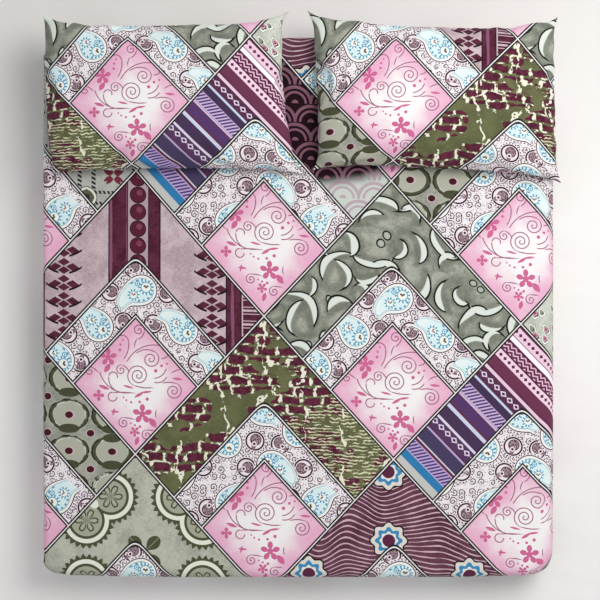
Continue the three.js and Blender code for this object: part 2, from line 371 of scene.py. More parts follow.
def edge_place(vert, part, share):
    """Where a point of the panel's edge gets to on a ring, and its flat place on both sides."""
    corner = corners[vert[corner_layer]]
    levels = {name: side_level(side, part, share) for name, side in sides.items()}
    across_level, along_level = beside(corner["x"], corner["y"], levels)
    edge_x, edge_y = half_width - across_level[0], half_length - along_level[0]
    start, end = levels[corner["from"]], levels[corner["to"]]
    radius = max(corner["radius"] - (start[0] + end[0]) / 2, 0.01)
    middle = Vector((corner["x"] * (edge_x - radius), corner["y"] * (edge_y - radius)))
    turn, beyond = vert[turn_layer], vert[beyond_layer]
    out_from, out_to = (Vector(sides[corner[which]]["out"]) for which in ("from", "to"))
    push = out_from * math.cos(turn * math.pi / 2) + out_to * math.sin(turn * math.pi / 2)
    facing = out_to if beyond > 0 else out_from
    run = beyond * ((edge_x if facing.x == 0 else edge_y) - radius)
    past = run + (turn - 0.5) * math.pi / 2 * corner["radius"]
    stand, ripple = stand_out(vert[corner_layer], past, part, share)
    x, y = barrel(*(middle + radius * push + run * facing.orthogonal()))
    z = mix(start[1], end[1], eased(turn))
    if part == "under":
        z += 0.0016 * share * (1 + ripple)
    arc_length = math.pi / 2 * radius
    flats = []
    for which, out, arc_run in (("from", out_from, turn), ("to", out_to, turn - 1)):
        along_side = out.orthogonal()
        side_run = middle.dot(along_side) + arc_length * arc_run + run
        flats.append((along_side, side_run, out, edges_at[corner[which]]))
    return Vector((x + stand * push.x, y + stand * push.y, z)), push, flats


def crowded(t):
    """A share of the way across, with the lines lying closer towards both ends."""
    return mix(t, 0.5 - 0.5 * math.cos(math.pi * t), 0.4)


panel = bmesh.new()
bmesh.ops.create_grid(panel, x_segments=panel_columns, y_segments=panel_rows, size=0.5)
corner_layer = panel.verts.layers.int.new("corner")
beyond_layer = panel.verts.layers.float.new("beyond")
turn_layer = panel.verts.layers.float.new("turn")
down_layer = panel.verts.layers.float.new("down")
flat_layers = [panel.verts.layers.float_vector.new(name) for name in ("flat_from", "flat_to")]
edges_at = {}
for name, side in sides.items():
    reach = half_width if side["out"][1] == 0 else half_length
    edges_at[name] = reach - side_level(side, "roll", 0)[0]
for vert in panel.verts:
    vert.co.x = mix(-edges_at["left"], edges_at["right"], crowded(vert.co.x + 0.5))
    vert.co.y = mix(-edges_at["foot"], edges_at["head"], crowded(vert.co.y + 0.5))

# The edge is drawn to the mattress's outline, and the rest of the panel follows it near by.
drawn = {}
rim = [vert for vert in panel.verts if vert.is_boundary]
for vert in rim:
    x, y = vert.co.x, vert.co.y
    reach_x, reach_y = beside(x, y, edges_at)
    from_x, from_y = reach_x - abs(x), reach_y - abs(y)
    signs = (1 if x > 0 else -1, 1 if y > 0 else -1)
    corner_index = [(corner["x"], corner["y"]) for corner in corners].index(signs)
    on_foot_or_head = from_y < from_x
    here = max(from_x, from_y)
    side_on_to = (corners[corner_index]["to"] in ("foot", "head")) == on_foot_or_head
    turned = 0.5 - 0.5 * min(here / corner_span, 1)
    reach = reach_x if on_foot_or_head else reach_y
    run_share = max(here - corner_span, 0) / (reach - corner_span)
    vert[corner_layer] = corner_index
    vert[turn_layer] = 1 - turned if side_on_to else turned
    vert[beyond_layer] = run_share if side_on_to else -run_share
    target = edge_place(vert, "roll", 0)[0]
    drawn[(round(x, 5), round(y, 5))] = target.xy - vert.co.xy
places = {vert: (round(vert.co.x, 5), round(vert.co.y, 5)) for vert in panel.verts}
ends_x = (min(x for x, y in drawn), max(x for x, y in drawn))
ends_y = (min(y for x, y in drawn), max(y for x, y in drawn))
for vert, (x, y) in places.items():
    fade_x = {end: max(1 - abs(x - end) / corner_fade, 0) ** 2 for end in ends_x}
    fade_y = {end: max(1 - abs(y - end) / corner_fade, 0) ** 2 for end in ends_y}
    shift = sum((fade_x[end] * drawn[(end, y)] for end in ends_x), Vector((0, 0)))
    shift += sum((fade_y[end] * drawn[(x, end)] for end in ends_y), Vector((0, 0)))
    for end_x in ends_x:
        for end_y in ends_y:
            shift -= fade_x[end_x] * fade_y[end_y] * drawn[(end_x, end_y)]
    x, y = vert.co.xy + shift
    settled = 1 - eased((y - 0.38) / 0.07)
    swell = noise.noise(Vector((x * 3.1, y * 2.6, 4.2)))
    swell += 0.5 * noise.noise(Vector((x * 9, y * 7, 1.1)))
    near_edge = min(edges_at["right"] - x, x + edges_at["left"], y + edges_at["foot"])
    lift = 0.0011 * max(swell + 0.35, 0) * settled * eased(near_edge / 0.1)
    vert.co = (x, y, mattress_top + sheet_above + lift)
    vert[flat_layers[0]] = vert[flat_layers[1]] = (x, y, 0)

# The rings go over the rolled edge, down the wall, round the lower edge and under the base.
rings = [("roll", i / 8) for i in range(1, 9)]
rings += [("wall", i / 11) for i in range(1, 11)]
rings += [("base", i / 4) for i in range(5)]
rings += [("under", i / 6) for i in range(1, 7)]
rim_edges = [edge for edge in panel.edges if edge.is_boundary]
for part, share in rings:
    made = bmesh.ops.extrude_edge_only(panel, edges=rim_edges)["geom"]
    rim_edges = [item for item in made if isinstance(item, bmesh.types.BMEdge) and item.is_boundary]
    for vert in {vert for edge in rim_edges for vert in edge.verts}:
        before = vert.co.copy()
        vert.co, push, flats = edge_place(vert, part, share)
        step = vert.co - before
        vert[down_layer] += step.length
        down = vert[down_layer]
        sewn = eased(down / 0.07)
        eased_round = eased(1 - abs(vert[beyond_layer]) * 18)
        for layer, (along_side, run, facing, edge) in zip(flat_layers, flats):
            spread = Vector(vert[layer]).xy + push * mix(step.length, step.xy.length, eased_round)
            flap = along_side * run + facing * (edge + down)
            vert[layer] = (*spread.lerp(flap, sewn), 0)
bmesh.ops.recalc_face_normals(panel, faces=panel.faces)
if sum(face.normal.z for face in panel.faces) < 0:
    bmesh.ops.reverse_faces(panel, faces=panel.faces)

# The place of each face in the print, in metres of flat cloth: past a corner's dart a face belongs
# to the side that follows it.
print_start = Vector((-0.1306, -0.0332))


def pulled_askew(place):
    """How far the print lies from square where the cloth is pulled unevenly over the top."""
    x = min(max(place.x, -half_width), half_width)
    y = min(max(place.y, -half_length), half_length)
    aside = -0.0015 - 0.004 * y - 0.011 * x * y
    down = 0.004 + 0.031 * x - 0.004 * y + 0.0195 * x * y
    return Vector((aside, -down))


print_uv = panel.loops.layers.uv.new("print")
for face in panel.faces:
    legs = {vert: vert[turn_layer] - 0.5 + vert[beyond_layer] for vert in face.verts}
    face_leg = sum(legs.values())
    for loop in face.loops:
        leg = legs[loop.vert] if abs(legs[loop.vert]) > 0.001 else face_leg
        place = Vector(loop.vert[flat_layers[leg > 0]]).xy
        loop[print_uv].uv = place - print_start - pulled_askew(place)
bmesh.ops.translate(panel, verts=panel.verts, vec=(bed_centre.x, bed_centre.y, 0))

# The cloth is printed all over with one diamond lattice, cut into patches by fine double lines.
# Every diamond holds a small pink scroll diamond at its foot, a paisley band round that, and one
# of the patterned patches beyond. Each pattern below takes the place on the cloth in metres from
# the foot of its diamond.
diamond_half_width = 0.4843
diamond_half_height = 0.5266
pink_edge = 0.487
paisley_edge = 0.70


def printed(draw):
    """One printed pattern, as a node group from a place on the cloth to its colour there. The
    drawing gives its ground, and then the mask and the colour of each layer over that."""
    group = bpy.data.node_groups.new(draw.__name__.replace("_", " "), "ShaderNodeTree")
    group.interface.new_socket(name="Place", in_out="INPUT", socket_type="NodeSocketVector")
    group.interface.new_socket(name="Colour", in_out="OUTPUT", socket_type="NodeSocketColor")
    start = group.nodes.new("NodeGroupInput")
    end = group.nodes.new("NodeGroupOutput")
    layers = draw(Dye(group, start.outputs["Place"]))
    colour = next(layers)
    for mask, dye in layers:
        colour = colour.under(mask, dye)
    group.links.new(colour.socket, end.inputs["Colour"])
    return group


def two_tone(place, scale, first, second, detail=3):
    """A brushed ground that drifts between two colours, with the grain of the cloth in it."""
    drift = place.noise(scale, detail, 0.65).ease(0.34, 0.66)
    grain = place.turned(0, 1, 7).noise(60, 2) + place.turned(0, 9, 1).noise(60, 3)
    return place.blend(drift * 0.6 + (grain - 0.80) * 1.3, first, second)


def petals_round(place, count, radius, turn, fullness):
    """Petals round a point: over 0 inside them."""
    x, y = place.split(-turn)
    return (y.atan2(x) * count).cos() - 1 + (place.length() * (math.pi / radius)).sin() * fullness


def any_of(masks):
    """The highest of some masks, each drawn and taken in before the next."""
    whole = None
    for mask in masks:
        whole = mask if whole is None else whole | mask
    return whole


def scattered(place, scale):
    """The place as seen from the nearest of some scattered spots, and that spot's chance."""
    even = {"Vector": place, "Scale": scale, "Randomness": 0.8}
    flat = {"voronoi_dimensions": "2D"}
    middle, chance = (place.node("TexVoronoi", flat, even, output) for output in (2, 1))
    chance = chance.node("SeparateColor", {}, {0: chance})
    return place.vector_math("SUBTRACT", middle), chance


@printed
def mauve_columns(place):
    x, y = place.split()
    yield two_tone(place, 9, "#a58d96", "#cdbabf")
    plum = two_tone(place, 16, "#3f0f22", "#602a41")
    pitch = 0.0627
    for middle in (-0.272, 0.288):
        side, row = abs(x - middle), y.repeat(pitch)
        rhombi = (side / 0.0235 + abs(row - 0.0155) / 0.0143) < 1
        rhombi = rhombi | ((side / 0.0235 + abs(row + 0.0150) / 0.0143) < 1)
        rhombi = rhombi | ((abs(side - 0.0335) / 0.0255 + abs(row + side * 0.1) / 0.0150) < 1)
        sweep = abs(row + 0.026 - side * side * 5.2) < 0.004
        wing = sweep & (abs(side - 0.044) < 0.024)
        yield rhombi, plum
        yield wing, "#210a14"
    columns = ((0.370, 0.028), (-0.372, 0.026), (0.067, 0.0245), (-0.066, 0.036))
    columns = any_of(x.is_near(middle, half) for middle, half in columns)
    lit = abs((x + 0.03).repeat(0.066)).ease(0.014, 0.0) * place.turned(0, 1, 0.12).noise(60, 2)
    yield columns, plum
    yield columns & (lit > 0.3), "#835069"
    edges = any_of(x.is_near(at, 0.0022) for at in (0.0475, 0.0915, -0.0315, -0.102, 0.342, 0.398))
    yield edges, "#210a14"
    ladder, rungs = abs(x) > 0.405, abs(y.repeat(0.052))
    yield ladder & (rungs < 0.022), plum
    yield ladder & rungs.is_near(0.013, 0.0016), "#c8afb7"
    yield x.is_near(0.008, 0.038), "#ae969f"
    bead = (x - 0.0076).join((y - 0.0225).repeat(pitch)).length()
    yield bead < 0.0312, "#1d0a12"
    yield bead < 0.0280, "#561b31"
    gleam = (x - 0.013).join((y - 0.0305).repeat(pitch)).length()
    yield gleam < 0.011, "#7a3d57"


@printed
def rings_and_dots(place):
    x, y = place.moved(-0.235, -0.134).split()
    yield two_tone(place, 8, "#81837a", "#aaab9d")
    pitch_x, pitch_y = 0.162, 0.1333
    chance = ((x.row(pitch_x) * 12.9 + y.row(pitch_y) * 78.2).sin() * 43.7).fract()
    bold = chance > 0.22
    a, b = x.repeat(pitch_x), y.repeat(pitch_y)
    oval = (a / 0.074).join(b / 0.057)
    far = oval.length()
    thick = (oval.noise(1.7) + chance * 0.3).ease(0.38, 0.80) * 0.095 + 0.038
    yield far < 0.98, "#acad9d"
    yield far.is_near(0.84, 0.038) & (oval.noise(2.2, 0) > 0.38), "#c6c8ba"
    yield far.is_near(0.95, thick) & (bold | (oval.noise(2.4) > 0.56)), "#4b4c38"
    yield far.is_near(1.01, 0.030) & (oval.noise(3, 0) > 0.36), "#20221a"
    top_lens = (a / 0.036).join((b - 0.050) / 0.016).length() < 1
    left_lens = ((a + 0.058) / 0.018).join(b / 0.034).length() < 1
    foot_lens = (a / 0.040).join((b + 0.050) / 0.017).length() < 1
    lenses = (top_lens & (chance > 0.6)) | (left_lens & (chance > 0.75))
    lenses = lenses | (foot_lens & (chance < 0.72))
    yield lenses & bold, "#474834"
    between = (x - pitch_x / 2).repeat(pitch_x) / 1.15
    between = between.join((y - pitch_y / 2).repeat(pitch_y)).length()
    dots = (a / 1.2).join(b).length() & between
    halo = ((a - 0.003) / 1.2).join(b).length() & between
    yield halo < 0.0155, "#c9b3b4"
    yield dots < 0.0125, "#43141f"


def brush_leaf(place, x0, y0, x1, y1, rise, width):
    """A bent leaf from a stem at x0, y0 to a tip at x1, y1, bowed to the left by rise. Returns its
    white, its ink line down the bowed side, and how near its edge is, over 0 inside it."""
    way = math.atan2(y1 - y0, x1 - x0) + math.copysign(math.pi / 2, rise)
    chord, depth = math.hypot(x1 - x0, y1 - y0), abs(rise)
    radius = (chord**2 / 4 + depth**2) / (2 * depth)
    half = math.atan2(chord / 2, radius - depth)
    x, y = (x0 + x1) / 2, (y0 + y1) / 2
    spot = place.moved((radius - depth) * math.cos(way) - x, (radius - depth) * math.sin(way) - y)
    a, b = spot.split(math.degrees(way))
    rib = spot.length() - radius
    along = b.atan2(a) / half
    reach = (width - along * along * width) * ((along * math.copysign(0.45, rise) + 1) | 0.2)
    outer, inner = reach - rib, reach * 0.9 + rib
    line = outer.is_near(-0.0028, 0.0038) & (inner > 0)
    return (outer > 0) * inner.ease(0, width * 0.45), line, outer & (inner + 0.008)


@printed
def leaf_scrolls(place):
    pitch_x, pitch_y = 0.42, 0.36
    x, y = place.moved(0.07, 0.02).split()
    x = x + (place.noise(4.5) - 0.5) * 0.05
    y = y + (place.moved(3.1, 1.7).noise(4.5) - 0.5) * 0.05
    turned_over = x.row(pitch_x).odd()
    a = x.repeat(pitch_x) * (1 - turned_over * 2)
    tile = a.join((y + turned_over * 0.17).repeat(pitch_y))
    drawn = None
    # Stem, tip, rise and width of each leaf, in millimetres
    for leaf in (
        (-192, -40, -60, 75, 44, 13), (-60, 75, 70, 70, -38, 13), (70, 70, 98, 130, -28, 11),
        (-75, 70, -110, 160, -30, 15), (-135, 45, -120, -70, 34, 13), (0, 42, 95, -25, 28, 14),
        (192, -10, 95, -120, 36, 13), (95, -120, -20, -112, -36, 12),
        (-20, -112, -64, -56, -30, 11), (110, -115, 175, -160, 22, 12),
        (45, -138, -45, -160, -16, 10), (160, 40, 150, 150, -28, 13),
        (-182, -150, -85, -120, 26, 12), (-182, 140, -150, 60, -20, 10),
        (20, -10, -65, -20, 24, 11),
    ):
        masks = brush_leaf(tile, *(length / 1000 for length in leaf))
        drawn = [whole | mask for whole, mask in zip(drawn, masks)] if drawn else masks
    white, lines, edge = drawn
    yield two_tone(place, 11, "#74786a", "#abaea0", 4)
    yield edge.ease(-0.030, -0.004) * 0.55, "#565b50"
    berries = tile.moved(-0.020, -0.125).length() & tile.moved(-0.045, -0.150).length()
    berries = berries & tile.moved(0.172, 0.112).length()
    yield berries.is_near(0.0135, 0.0026), "#23261e"
    yield berries < 0.0105, "#aab1a5"
    yield white, "#d6ddd4"
    yield lines * (white < 0.9), "#14160f"


@printed
def crackle(place):
    wavy = place.noise(7, 2) - 0.5
    x, y = place.split()
    rough_x = x + (place.noise(60, 2) - 0.5) * 0.018
    rough_y = y + (place.moved(2, 5).noise(55, 2) - 0.5) * 0.014 + wavy * 0.03
    yield two_tone(place, 10, "#54563a", "#6b6d49")
    course = 0.037
    shifted = rough_x + (rough_y.row(course) * 2.4).sin() * 0.03
    across, up = abs(shifted.repeat(0.078)), abs(rough_y.repeat(course))
    banks = place.turned(0, 1, 2.2).noise(4.6, 2, 0.6)
    bank = banks > 0.47
    maroon = (across < 0.031) & (up < 0.0135) & bank
    yield maroon, two_tone(place, 40, "#3c1020", "#66283f")
    crumbs = place.moved(4, 4).noise(45, 2)
    joints = (across > 0.0330) & (crumbs > 0.47) & (banks > 0.44)
    seams = (up > 0.0160) & (crumbs > 0.55) & bank
    streaks = abs(rough_y.repeat(0.0125)) < 0.0026
    dashed = place.turned(0, 1, 4).noise(24, 2) > 0.47
    streaky = ((x - 0.11) * 1.6 + place.moved(1, 1).noise(5) - abs(y - 0.56) * 1.3) > 0.43
    yield (joints | seams) & (streaky < 0.5), "#e6e4d0"
    yield streaks & dashed & streaky, "#cfcdac"
    long_x = x + wavy * 0.13 + (place.moved(2, 2).noise(38, 2) - 0.5) * 0.03
    thick = place.turned(0, 1.4, 1).noise(30, 2).ease(0.33, 0.70) * 0.0085
    broken = place.moved(7, 3).noise(8, 2) > 0.44
    upright = (abs(long_x.repeat(0.152)) < thick) & broken
    slant = (y - x * 0.35 - wavy * 0.2 + (crumbs - 0.5) * 0.03).repeat(0.42)
    level = (abs(slant) < thick * 0.8) & (place.moved(5, 9).noise(6) > 0.5)
    yield upright | level, "#e6e4d0"


@printed
def medallions(place):
    yield two_tone(place, 8, "#96988a", "#bfc1b1")
    pitch_x, pitch_y = 0.434, 0.408
    x, y = place.moved(0.182, -0.894).split()
    tile = x.repeat(pitch_x).join(y.repeat(pitch_y))
    side, up = tile.split()
    side, up = abs(side), abs(up)
    olive, cream = "#4d4f37", "#e4e5d6"
    lobe_x, lobe_y = side - 0.09, up - 0.09
    aside, above = lobe_x.join(up), side.join(lobe_y)
    aside_far, above_far = aside.length(), above.length()
    lobes = aside_far & above_far & (tile.length() + 0.012)
    swung = (up.atan2(lobe_x) * 13) * (aside_far < above_far)
    swung = swung + (lobe_y.atan2(side) * 13) * (above_far < aside_far)
    teeth = abs((swung / math.pi).fract() - 0.5) * 0.03
    yield lobes < teeth + 0.091, olive
    yield lobes < 0.0845, cream
    yield lobes < 0.0685, olive
    yield lobes < 0.0585, "#a4a692"
    for lobe in (aside, above):
        petals, close = petals_round(lobe, 6, 0.045, 0, 1.5), lobe.length() < 0.045
        yield (petals > -0.45) & close, "#4b4d36"
        yield (petals > 0.50) & close, "#a9ab97"
    heart = petals_round(tile, 4, 0.058, 45, 1.3)
    yield (heart > 0) & (tile.length() < 0.058), cream
    a, b = (x - pitch_x / 2).repeat(pitch_x), (y - pitch_y / 2).repeat(pitch_y)
    between = a.join(b)
    flower = (petals_round(between, 4, 0.078, 45, 1.5) > 0) & (between.length() < 0.078)
    ribs = abs(abs(a) - abs(b)) < 0.0022
    yield flower, olive
    yield flower & ribs, "#8b8d74"


@printed
def petal_crosses(place):
    yield two_tone(place, 9, "#9a9c95", "#b8bab3")
    x, y = place.moved(-0.399, -0.503).split()
    a, b = x.repeat(0.205), y.repeat(0.165)
    side, up = abs(a), abs(b)
    slope = abs((side - up * 1.25) / 1.6)
    far = side.join(up * 1.15).length()
    petals = (slope / 0.0125).join((far - 0.028) / 0.0195).length() < 1
    notch = slope < (far - 0.034) * 0.5
    yield petals & (notch < 0.5), "#762b3b"
    slant_x, slant_y = abs((a + b * 0.5).repeat(0.0165)), abs((b + a * 0.5).repeat(0.0165))
    frame_line = up.is_near(0.062, 0.006) & (slant_x < 0.0045) & (side < 0.076)
    frame_line = frame_line | (side.is_near(0.076, 0.008) & (slant_y < 0.0045) & (up < 0.064))
    yield frame_line, "#26221f"
    corner = (side - 0.1025).join(up - 0.0825)
    near = corner.length() + abs((up * 60 + side * 60).sin()) * 0.006
    rings = {0.046: "#3d3d33", 0.042: "#dcdcd2", 0.031: "#595a43", 0.017: "#3a2a2c"}
    for reach, code in rings.items():
        yield near < reach, code


@printed
def pods_on_a_vine(place):
    """Grey pods with rosy seeds, outlined in white on a pale vine."""
    yield two_tone(place, 12, "#9fa396", "#cdd0c5")
    away, chance = scattered(place, 22)
    a, b = away.split(25)
    far = a.join(b * 0.7 + abs(a) * 0.5).length()
    size = chance * 0.007 + 0.007
    shade = (a + 0.003).join(b * 0.7 + abs(a) * 0.5 - 0.003).length()
    yield far < size + 0.0052, "#8d8e81"
    yield far < size + 0.0038, "#eceee6"
    yield far < size, "#8a8b80"
    yield (far < size) & (shade > size), "#4f4e46"
    seeded = chance > 0.42
    yield (far < size * 0.66) & seeded, "#dfb3c2"
    yield (far < size * 0.48) & seeded, "#a8476b"


@printed
def ripples(place):
    """Fine rippled lines and plain eight-petalled flowers in even rows."""
    x, y = place.split()
    yield two_tone(place, 8, "#4b2535", "#6b4050")
    ripple = y + place.turned(0, 1, 0.6).noise(4.2) * 0.16 + (x * 16).sin() * 0.012
    thick = place.noise(20) * 0.0044
    yield abs(ripple.repeat(0.0185)) < thick, "#c9acb6"
    a, b = (x + 0.02).repeat(0.30), (y + x.row(0.30).odd() * 0.13 + 0.035).repeat(0.26)
    far = a.join(b).length()
    wave = (b.atan2(a) * 8).cos()
    for reach, code in ((0.068, "#200c15"), (0.062, "#dad5cb"), (0.046, "#3b86b4")):
        yield far < wave * 0.006 + reach, code
    yield far < wave * 0.003 + 0.032, "#e2dfd8"
    yield far < 0.024, "#5a2440"


@printed
def ribbons(place):
    """Plain cross bands from one end of the patch to the other, blue through violet to plum."""
    across, along = place.split(44)
    yield two_tone(place, 10, "#5a203d", "#6b304c")
    # Middle and width of each band in millimetres, and its colour
    for middle, width, code in (
        (-100, 90, "#bdbfb8"), (-30, 55, "#2f7fb0"), (25, 60, "#bfc0bb"), (65, 30, "#2f78ab"),
        (105, 50, "#b9a3cb"), (150, 20, "#cfd3dc"), (175, 60, "#453b5b"), (198, 7, "#b7a3cd"),
        (235, 50, "#50385c"), (262, 18, "#dcd0e0"), (285, 45, "#453251"), (315, 14, "#c8cde2"),
        (350, 50, "#5b324e"), (378, 8, "#c7b4d6"), (408, 50, "#c9b0cd"), (446, 30, "#40304e"),
        (468, 14, "#c3cee2"), (495, 50, "#542d48"), (525, 12, "#e2c7d8"), (560, 40, "#69334d"),
        (595, 30, "#edcede"), (635, 50, "#5b2343"), (670, 18, "#f8eef3"), (700, 36, "#e6c5d6"),
        (745, 50, "#5f2b46"), (785, 16, "#e7cbdc"), (820, 50, "#6c3651"), (860, 18, "#e8d3de"),
        (900, 60, "#5f2b45"),
    ):
        yield across.is_near(middle / 1000, width / 2000), code
    leaning = abs((along + across * 0.6).repeat(0.0145)) < 0.0038
    hatched = across.is_near(0.105, 0.021) | across.is_near(0.350, 0.018)
    hatched = hatched | across.is_near(0.408, 0.021)
    yield leaning & hatched, "#4b3a78"
    step = abs(along.repeat(0.034))
    lozenge = (abs(across - 0.495) + step * 0.75) & (abs(across - 0.235) + step * 0.75)
    yield lozenge < 0.012, "#dccbe0"
    yield lozenge < 0.006, "#3c1a38"
    small = abs(along.repeat(0.022))
    bead = (abs(across - 0.595) + small) & (abs(across - 0.70) + small)
    yield bead < 0.008, "#5b2343"
    zigzag = abs(along.repeat(0.026)) * 0.9
    teeth = abs((across - 0.752 + zigzag).repeat(0.0165)) < 0.0034
    toothed = across.is_near(0.745, 0.019) | across.is_near(0.635, 0.018)
    toothed = toothed | across.is_near(0.82, 0.018)
    yield teeth & toothed, "#e0b9cd"


@printed
def clamshells(place):
    """Rows of plain clamshells, pale mint at the foot of the patch and plum at its head, the plum
    darkened to near black as painted shade where the patch lies between the pillows.
    """
    x, y = place.split()
    # The plum at the head is the print's colour, darkened to near black as painted shade for the
    # gap between the pillows; the mint at the foot is the print's own colour.
    plum = (y - x * 0.2 + place.noise(12) * 0.02).ease(0.44, 0.5)
    ground_with_painted_shade = place.blend(plum, "#c3cbc3", "#1c0510")
    shells_with_painted_shade = place.blend(plum, "#b4a2ab", "#7e5566")
    a = (x + y.row(0.07).odd() * 0.06).repeat(0.12)
    far = a.join(y.repeat(0.07) + 0.035).length()
    yield ground_with_painted_shade
    yield far < 0.0665, shells_with_painted_shade
    yield far < 0.0545, ground_with_painted_shade
    yield far.is_near(0.041, 0.0045), shells_with_painted_shade
    yield far < 0.026, ground_with_painted_shade
    yield far < 0.013, shells_with_painted_shade


def lens(place, x, y, turn, half, width):
    """A small pointed leaf: over 0 inside it."""
    a, b = place.moved(-x, -y).split(turn)
    return width - abs(b) - a * a * (width / half**2)


def from_nearest(place, rows):
    """The place as seen from the nearest of some motifs, and how far it is. A row gives a motif's
    place in millimetres, its turn in degrees, and -1 where it is mirrored."""
    here, least = None, None
    for x, y, turn, hand in rows:
        spot = place.moved(-x / 1000, -y / 1000)
        a, b = spot.split(turn)
        seen, reach = a.join(b * hand), spot.length()
        here = seen if here is None else place.switch(reach < least, here, seen)
        least = reach if least is None else least & reach
    return here, least


@printed
def paisley_band(place):
    yield two_tone(place, 12, "#e0d8dc", "#efeaec")
    brown, wine, blue = "#482635", "#3b1a28", "#4594b3"
    away, chance = scattered(place, 31)
    a, b = away.split()
    far = away.length()
    wound = b.atan2(a) / math.tau * ((chance > 0.5) * 2 - 1)
    curls = ((far / 0.0095 - wound + chance * 7).fract() < 0.37) & (far < chance * 0.006 + 0.0110)
    pins = {"Vector": place, "Scale": 70, "Randomness": 1}
    pins = place.node("TexVoronoi", {"voronoi_dimensions": "2D"}, pins)
    yield curls, brown
    yield pins < 0.12, brown

    here, least = from_nearest(place, (
        (-96, 600, 40, 1), (118, 600, 200, 1), (-46, 490, 120, 1), (66, 486, 10, 1),
        (-208, 335, 300, 1), (232, 344, 70, 1), (-255, 440, 160, -1), (262, 445, 250, -1),
        (-10, 690, 90, 1), (-330, 400, 20, -1), (330, 400, 100, 1), (85, 700, 150, 1),
        (-190, 690, 240, 1), (280, 600, 60, 1),
    ))
    a, b = here.split()
    ticks = ((b.atan2(a) * 22).sin() > 0) & least.is_near(0.0415, 0.0022)
    yield least < 0.044, "#efe6ea"
    yield ticks, wine
    yield least < 0.0365, wine
    yield least < 0.0300, "#eadfe4"
    seed = here.moved(-0.005, 0.003).length()
    rind = seed.is_near(0.0205, 0.0022)
    seed = (seed < 0.0215) | (lens(here, -0.012, 0.012, 130, 0.022, 0.009) > 0)
    mottle = place.noise(230) > 0.52
    yield seed, "#a8909a"
    yield seed & (mottle | rind), "#4c2a37"
    hook = here.moved(0.008, -0.008).length()
    yield hook < 0.009, "#efe4e9"
    yield hook < 0.005, wine

    here, least = from_nearest(place, (
        (23, 610, 176, 1), (-140, 469, 104, 1), (179, 466, 104, 1), (-286, 341, 100, 1),
        (322, 316, 104, 1), (-75, 735, 60, 1), (60, 815, 176, 1), (190, 690, 20, 1),
        (-240, 600, 104, 1), (370, 560, 104, 1),
    ))
    a, b = here.split()
    angle = b.atan2(a) - least * 7
    facing = (angle / 2).cos() ** 2
    inside = facing**36 * 0.048 + facing**6 * 0.022 + 0.050 - least
    dotted = inside.is_near(-0.0130, 0.0020) & ((angle * 30).sin() > 0)
    yield inside > -0.0160, "#f1e9ed"
    yield dotted, brown
    yield inside > -0.0085, brown
    yield inside > -0.0045, "#edeee9"
    yield inside > 0.0045, "#7f98aa"
    yield inside > 0.0070, place.blend(least.ease(0.04, 0.10), "#d5e8ea", "#e2edeb")
    yield inside.is_near(0.0140, 0.0014) & (least > 0.058), "#74b1c2"
    comb = inside.is_near(0.0120, 0.0036) & ((angle * 13).sin() > 0.2)
    yield comb & (facing < 0.9), blue
    wheels = ((-0.015, -0.012, 0.0295, 12, "#5b4a44"), (0.030, 0.021, 0.0225, 10, "#6e2338"))
    for x, y, size, count, code in wheels:
        spot = here.moved(-x, -y)
        a, b = spot.split()
        far = spot.length() / size
        teeth = far.is_near(0.85, 0.14) & ((b.atan2(a) * count).sin() > 0.15)
        yield far < 1, "#e3eff0"
        yield teeth | far.is_near(0.64, 0.055), blue
        pips = spot.moved(-0.0055, 0.004).length() & spot.moved(0.005, 0.004).length()
        pips = pips < size * 0.14
        yield far < 0.56, "#ecefe6"
        yield pips | (far < 0.13), code
    wave = here.moved(-0.018, 0.022).length()
    yield wave.is_near(0.0085, 0.0016) | (wave < 0.003), blue


def arc(place, x, y, radius, middle, half_turn, width):
    """A thin drawn arc of a circle, its middle in a direction given in degrees."""
    spot = place.moved(-x, -y)
    ahead = spot.dot(math.cos(math.radians(middle)), math.sin(math.radians(middle)))
    on_line = abs(spot.length() - radius) < width / 2
    return on_line & (ahead > radius * math.cos(math.radians(half_turn)))


def vine(place, x, y, radius, pitch, end, hand, tail, sweep, width):
    """A drawn spiral that runs out into an arc. It ends in the direction end, in degrees, wound
    anticlockwise for a hand of 1."""
    spot = place.moved(-x, -y)
    a, b = spot.split()
    far = spot.length()
    start = end / 360 * hand - radius / pitch
    wound = (far / pitch - b.atan2(a) / (math.tau * hand) + start).fract() < width / pitch
    facing, out = math.radians(end), radius - tail
    centre = (x + out * math.cos(facing), y + out * math.sin(facing))
    stem = arc(place, *centre, tail, end + hand * sweep / 2, sweep / 2, width)
    return (wound & (far < radius + width / 2)) | stem


